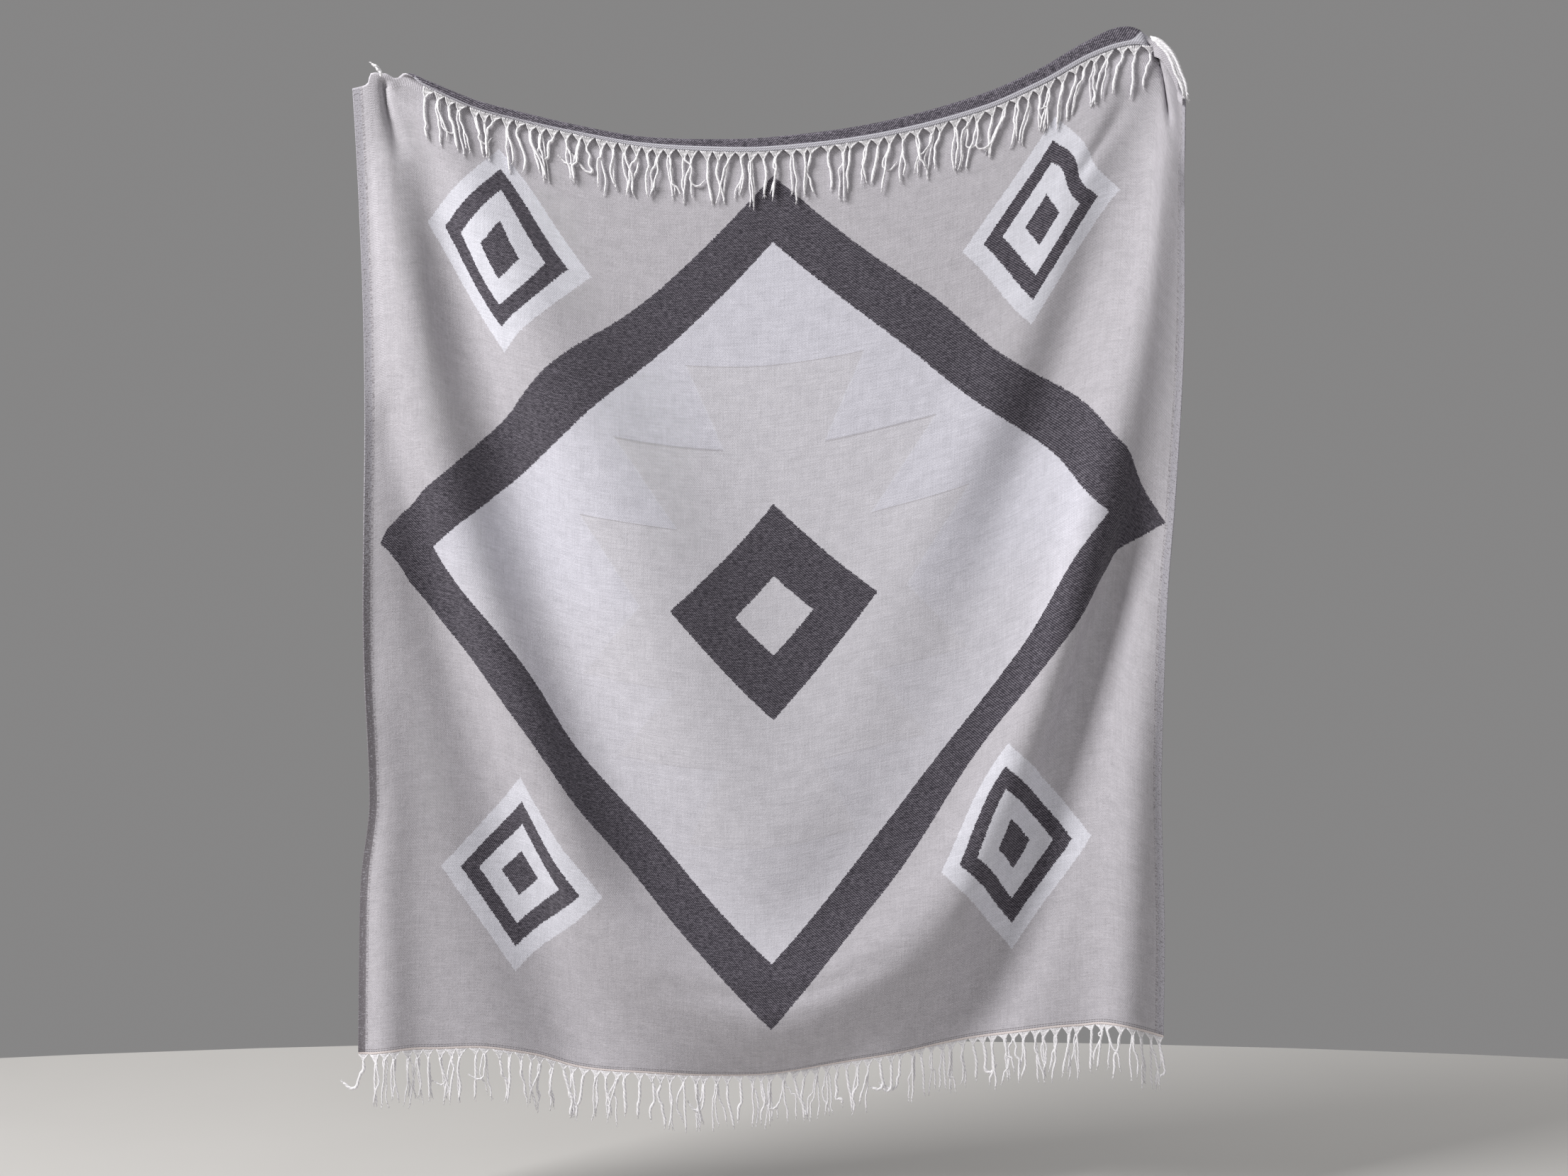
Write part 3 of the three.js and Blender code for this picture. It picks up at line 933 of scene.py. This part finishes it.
def yarn_detail(across, down):
    """Streaks, flecks, nap and fuzz of the yarns, and the slant of the twill."""
    nap = across.cloud(down, 26, 22, 4.0)
    slant = (across - down) * (2 * math.pi / (TWILL_PITCH * MM)) + (nap - 0.5) * 3
    return Yarns(
        weft_streak=across.cloud(down, 46, 2.1),
        long_streak=across.cloud(down, 70, 5.5, 3.0),
        warp_streak=across.cloud(down, 2.4, 60),
        short_fleck=across.cloud(down, 9, 1.7, 1.0),
        nap=nap,
        fuzz=across.cloud(down, 3.2, 2.6, 3.0),
        twill=slant.sine(),
    )


def tone_figure(aside, below):
    """The tone-on-tone figure, the light lines down its sides and the dark ones on its steps."""
    far = abs(below)
    figure = 0
    light_lines = 0
    dark_lines = 0
    for tier, beyond in zip(TIERS, [*TIERS[1:], None]):
        share = (far - tier.near * MM) / ((tier.far - tier.near) * MM)
        half = share * ((tier.wide - tier.narrow) * MM) + tier.narrow * MM
        inside = far.between(tier.near * MM, tier.far * MM)
        figure = figure + inside * (abs(aside) < half)
        light_lines = light_lines + inside * (abs(abs(aside) - half) < FIGURE_LIGHT_LINE / 2 * MM)
        hidden = beyond.narrow * MM if beyond else -MM
        step_line = abs(far - tier.far * MM) < FIGURE_DARK_LINE / 2 * MM
        dark_lines = dark_lines + step_line * abs(aside).between(hidden, tier.wide * MM)
    return figure, light_lines, dark_lines


def pale_yarns(yarns, aside, below, inside_great, white):
    """The pale yarns' colour: plain ground, the figure in the great diamond, and white rings."""
    figure, light_lines, dark_lines = tone_figure(aside, below)
    # The figure shows less in the lower half.
    clearness = 1 - below.rise(-60 * MM, 120 * MM) * 0.65
    tone = (1 - figure) * clearness
    pale = inside_great.mixed(PALE_GROUND, tone.mixed(PALE_FIGURE, PALE_WING))
    pale = (inside_great * light_lines * clearness * 0.6).mixed(pale, WHITE_RING)
    pale = (inside_great * dark_lines * clearness * 0.35).mixed(pale, PALE_FLECK)
    pale = white.mixed(pale, WHITE_RING)
    plain_ground = (1 - white) * (1 - inside_great)
    flecks = (yarns.short_fleck * 0.6 + yarns.weft_streak * 0.4).rise(0.54, 0.7)
    pale = (flecks * (0.12 + 0.2 * plain_ground)).mixed(pale, PALE_FLECK)
    streaks = yarns.weft_streak * 0.28 + yarns.long_streak * 0.14 + yarns.warp_streak * 0.2
    grain = streaks + yarns.nap * 0.24 + yarns.fuzz * 0.26
    return pale.scaled(0.44 + grain + yarns.twill * 0.02)


def charcoal_yarns(yarns):
    """The charcoal yarns' colour, with lighter flecks."""
    flecks = yarns.short_fleck * 0.5 + yarns.weft_streak * 0.2 + yarns.fuzz * 0.3 + yarns.twill * 0.1
    charcoal = (flecks.rise(0.4, 0.68) * 0.7).mixed(CHARCOAL, CHARCOAL_FLECK)
    streaks = yarns.weft_streak * 0.25 + yarns.long_streak * 0.22
    return charcoal.scaled(0.6 + streaks + yarns.twill * 0.16 + yarns.nap * 0.2)


def with_selvedges(base, yarns, across, down):
    """Adds the selvedges: salt and pepper, with painted shade that darkens the left one lower down,
    and a speckled dark line inside each, painted as the shadow where the selvedge meets the face.
    """
    from_side = HALF_WIDTH * MM - abs(across)
    left_side = across < 0
    pepper = yarns.fuzz * 0.6 + yarns.short_fleck * 0.4
    # Painted shade: the left selvedge gets more dark speckle lower down, where it turns from the
    # light.
    painted_shade_low_left = left_side * down.rise(450 * MM, 1100 * MM)
    speckle = (pepper + painted_shade_low_left * 0.2).rise(0.5, 0.68)
    band = 1 - from_side.rise(SELVEDGE * 0.9 * MM, SELVEDGE * 1.05 * MM)
    base = (band * 0.9).mixed(base, speckle.mixed(SELVEDGE_PALE, SELVEDGE_DARK))
    # Painted shadow: a speckled dark line where the selvedge meets the face.
    line = from_side.between(SELVEDGE * MM, (SELVEDGE + SELVEDGE_SHADOW_LINE) * MM)
    return (line * pepper.rise(0.46, 0.6) * 0.7).mixed(base, SELVEDGE_DARK)


def with_turned_end(base, pale, yarns, across, down):
    """Adds the turned-over end: a strip of bare warp with one thin grey line, which narrows to
    the left. Past the right corner the end is folded again and shows its pale face."""
    from_top = down + TURN_OVER * MM
    header = (0.35 + 0.65 * across.rise(-560 * MM, -60 * MM)) * (TOP_HEADER * MM)
    gathered = across.between(BARE_WARP_LEFT * MM, BARE_WARP_RIGHT * MM)
    bare = (from_top < header + across.rise(600 * MM, 655 * MM) * (TURN_OVER * MM)) * gathered
    base = bare.mixed(base, HEADER_PALE)
    thin_line = (abs(from_top - header * 0.55) < GREY_LINE / 2 * MM) * gathered
    base = (thin_line * (0.3 + 0.5 * yarns.fuzz)).mixed(base, STITCH)
    folded_again = (across > BARE_WARP_RIGHT * MM) * (down < 0)
    return folded_again.mixed(base, pale)


def stitch_rows(from_bottom):
    """The double row of stitches over the bottom hem's edge."""
    lower = BOTTOM_HEADER
    upper = BOTTOM_HEADER + STITCH_GAP
    first = from_bottom.between(lower * MM, (lower + STITCH_WIDTHS[0]) * MM)
    second = from_bottom.between(upper * MM, (upper + STITCH_WIDTHS[1]) * MM)
    return first + second


def with_bottom_hem(base, rows, across, from_bottom):
    """Adds the bottom hem: a narrow pale edge below rows of stitches, its warm pink tint painted
    bounce light.
    """
    hem_edge = 1 - from_bottom.rise(BOTTOM_HEADER * 0.8 * MM, BOTTOM_HEADER * 1.1 * MM)
    # The pale edge's warm tint is painted bounce light.
    base = hem_edge.mixed(base, HEM_PALE_WARM_BOUNCE)
    dashes = (across * (2 * math.pi / (STITCH_PITCH * MM))).sine().rise(-0.6, -0.2)
    return (rows * (0.15 + 0.4 * dashes)).mixed(base, STITCH)


def woven_finish(name, reverse):
    """The double weave: pale and charcoal yarns that change places in the pattern. On the
    reverse they are the other way round."""
    material, start = new_finish(name)
    flat = start.node("UVMap", {"uv_map": "flat"})
    across, down = start.node("SeparateXYZ", None, {"Vector": flat}, output=("X", "Y"))
    pattern = start.node("UVMap", {"uv_map": "pattern"})
    aside, below = start.node("SeparateXYZ", None, {"Vector": pattern}, output=("X", "Y"))
    aside, below = stepped(aside, below)
    yarns = yarn_detail(across, down)

    great = diamond(aside, below, GREAT_DIAMOND)
    inner = diamond(aside, below, [half - GREAT_BAND for half in GREAT_DIAMOND])
    centre = diamond(aside, below, CENTRE_DIAMOND)
    hole = diamond(aside, below, CENTRE_HOLE)
    corner = diamond(
        abs(aside) - CORNER_PLACE[0] * MM, abs(below) - CORNER_PLACE[1] * MM, CORNER_DIAMOND)
    core, gap, ring, rim = CORNER_RINGS
    dark = (great < 1) * (inner > 1) + (centre < 1) * (hole > 1)
    dark = dark + (corner < core) + corner.between(gap, ring)

    pale = pale_yarns(yarns, aside, below, inner < 1, corner < rim)
    charcoal = charcoal_yarns(yarns)
    if reverse:
        base = dark.mixed(charcoal.scaled(0.85 + yarns.fuzz * 1.2), pale)
    else:
        base = dark.mixed(pale, charcoal)

    base = with_selvedges(base, yarns, across, down)
    base = with_turned_end(base, pale, yarns, across, down)
    from_bottom = DROP * MM - down
    rows = stitch_rows(from_bottom)
    base = with_bottom_hem(base, rows, across, from_bottom)

    relief = yarns.twill * 0.35 + yarns.weft_streak * 0.5 + yarns.fuzz * 0.8
    relief = relief + yarns.warp_streak * 0.3 - rows
    cover(start, base, 0.9 + yarns.fuzz * 0.08, relief, 0.7, 0.25)
    return material


YARN_WHITE = colour(252, 251, 253)
# Painted shade for the grooves between the yarn's plies
YARN_GROOVE_SHADE = colour(222, 219, 225)
PLY_PITCH = 7.5


def yarn_finish(name):
    """Loosely twisted white yarn, with painted shade darkening the grooves between its plies."""
    material, start = new_finish(name)
    twist = start.node("UVMap", {"uv_map": "twist"})
    around, along = start.node("SeparateXYZ", None, {"Vector": twist}, output=("X", "Y"))
    ply = ((around * 2 + along / (PLY_PITCH * MM)) * (2 * math.pi)).sine()
    place = start.node("TexCoord", output="Object")
    fluff = start.node("TexNoise", None, {"Vector": place, "Scale": 600.0, "Detail": 3.0})
    # Painted shade in the ply grooves, broken up by random fluff.
    groove_shade = (0.55 - ply * 0.45 + (fluff - 0.5) * 0.8).rise(0.35, 1.1)
    base = (groove_shade * 0.8).mixed(YARN_WHITE, YARN_GROOVE_SHADE)
    base = base.scaled(0.94 + fluff * 0.12)
    cover(start, base, 0.88 + fluff * 0.1, ply * 0.6 + fluff, 0.5, 0.3)
    return material


FLOOR_PALE = colour(203, 201, 198)
FLOOR_SHADE = colour(196, 194, 191)


def floor_finish(name):
    """A pale matt studio floor with the faintest clouding."""
    material, start = new_finish(name)
    place = start.node("TexCoord", output="Object")
    clouding = start.node("TexNoise", None, {"Vector": place, "Scale": 1.4, "Detail": 3.0})
    base = clouding.mixed(FLOOR_SHADE, FLOOR_PALE)
    cover(start, base, 0.7 + clouding * 0.1, clouding, 0.2, 0.0)
    return material


# Stage, light and camera

def make_floor():
    """A wide pale floor under the fringe, which ends a little behind the cloth."""
    shape = bmesh.new()
    bmesh.ops.create_circle(shape, cap_ends=True, segments=128, radius=FLOOR_RADIUS * MM)
    height = cad_box[0].z - FLOOR_CLEARANCE * MM
    middle = (0, (FLOOR_BACK - FLOOR_RADIUS) * MM, height)
    bmesh.ops.translate(shape, verts=shape.verts, vec=middle)
    floor = finished_piece("studio_floor", shape)
    floor.data.materials.append(floor_finish("studio floor"))


def add_light(lamp, aim):
    area = bpy.data.lights.new(lamp.name, "AREA")
    area.shape = "SQUARE"
    area.size = lamp.size
    area.energy = lamp.power
    area.color = lamp.tint
    light = bpy.data.objects.new(lamp.name, area)
    light.location = lamp.place
    light.rotation_euler = (aim - Vector(lamp.place)).to_track_quat("-Z", "Y").to_euler()
    bpy.context.scene.collection.objects.link(light)


def light_the_stage():
    middle = (cad_box[0] + cad_box[1]) / 2
    for lamp in LAMPS:
        add_light(lamp, middle)
    world = bpy.data.worlds.new("studio")
    world.use_nodes = True
    surround = world.node_tree.nodes["Background"]
    surround.inputs["Color"].default_value = SURROUND_TINT
    surround.inputs["Strength"].default_value = SURROUND_STRENGTH
    bpy.context.scene.world = world
    bpy.context.scene.view_settings.view_transform = "Standard"


def make_camera():
    """Level, square on to the cloth, at the photograph's distance and height."""
    lens = bpy.data.cameras.new("camera")
    lens.lens = LENS
    lens.sensor_width = SENSOR
    camera = bpy.data.objects.new("camera", lens)
    pixels_per_distance = IMAGE_WIDTH * LENS / SENSOR
    aside = (IMAGE_WIDTH / 2 - CENTRE_PIXEL) / pixels_per_distance * CAMERA_DISTANCE
    camera.location = (aside * MM, -CAMERA_DISTANCE * MM, CAMERA_HEIGHT * MM)
    camera.rotation_euler = (math.pi / 2, 0, 0)
    bpy.context.scene.collection.objects.link(camera)
    bpy.context.scene.camera = camera


cloth = make_cloth()
cloth.data.materials.append(woven_finish("double weave light face", reverse=False))
cloth.data.materials.append(woven_finish("double weave dark face", reverse=True))
top_fringe = make_top_fringe()
top_fringe.data.materials.append(yarn_finish("top fringe yarn"))
bottom_fringe = make_bottom_fringe()
bottom_fringe.data.materials.append(yarn_finish("bottom fringe yarn"))

for piece, node, slot in (
    (cloth, "blanket", "cloth"),
    (top_fringe, "fringe_top", "yarn_top"),
    (bottom_fringe, "fringe_bottom", "yarn_bottom"),
):
    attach(piece, "root")
    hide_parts(node)

make_floor()
light_the_stage()
make_camera()
